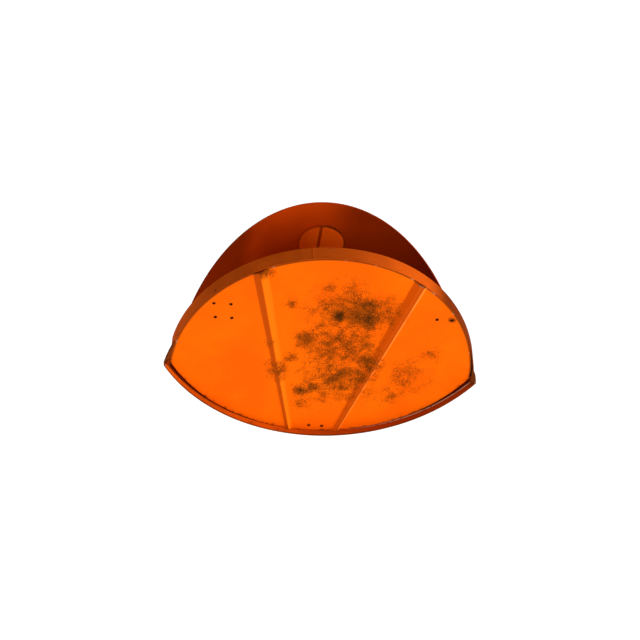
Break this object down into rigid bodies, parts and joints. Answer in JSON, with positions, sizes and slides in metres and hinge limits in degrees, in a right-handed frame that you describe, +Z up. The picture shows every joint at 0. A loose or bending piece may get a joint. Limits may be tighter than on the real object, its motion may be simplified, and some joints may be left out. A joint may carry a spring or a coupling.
{
  "type": "semaphore signal head",
  "caption": "Half-round sheet steel signal head with a ridged lens-shaped face, on a slotted spindle in a bolted mast bracket, turned by a crank and pull rod.",
  "frame": {"origin": "centre of the four mast bolts, in the plane of the bracket's mast face", "axes": "+X to the right seen from the front, +Y back into the mast, +Z up; the spindle is parallel to Y, 70 mm above the origin"},
  "size_m": [0.626, 0.327, 0.468],
  "materials": {
    "signal_paint": "gloss, worn",
    "inner_paint": "satin, weathered",
    "bracket_paint": "satin black",
    "cast": "rough",
    "bright_steel": "dull",
    "bronze": "dull"
  },
  "bodies": {
    "bracket": {"mast_plate": "bracket_paint", "bearing_barrel": "cast", "front_bush": "bronze", "rear_bush": "bronze", "bracket_cheeks": "bracket_paint", "cross_web": "bracket_paint", "stop_plate": "bracket_paint", "stop_pins": "bright_steel", "oil_cup": "bronze", "oil_cup_lid": "bronze"},
    "signal_head": {"face_plate": "signal_paint", "rim_strip": "signal_paint", "floor_pan": "signal_paint", "rear_shell": "inner_paint", "plate_cleats": "inner_paint", "hub_pad": "bracket_paint", "hub_rivets": "bright_steel", "spindle": "bright_steel", "spindle_cap": "inner_paint", "crank_arm": "bracket_paint", "crank_key": "bright_steel", "thrust_washer": "bronze", "rear_collar": "bright_steel", "collar_screw": "bright_steel"},
    "pull_rod_set": {"rod_fork": "bracket_paint", "clevis_pin": "bright_steel", "clevis_washer": "bright_steel", "split_pin": "bright_steel", "pull_rod": "bright_steel", "lock_nut": "bright_steel", "rod_socket": "bright_steel"}
  },
  "joints": [
    {"name": "head_turn", "type": "hinge", "parent": "bracket", "child": "signal_head", "pos_m": [0, -0.03, 0.07], "axis": [0, 1, 0], "range_deg": [0, 45]},
    {"name": "rod_clevis", "type": "hinge", "parent": "signal_head", "child": "pull_rod_set", "pos_m": [-0.08315, -0.058, 0.03556], "axis": [0, 1, 0], "range_deg": [-45, 0]}
  ],
  "couplings": [
    {"joint": "rod_clevis", "follows": "head_turn", "ratio": -1}
  ]
}
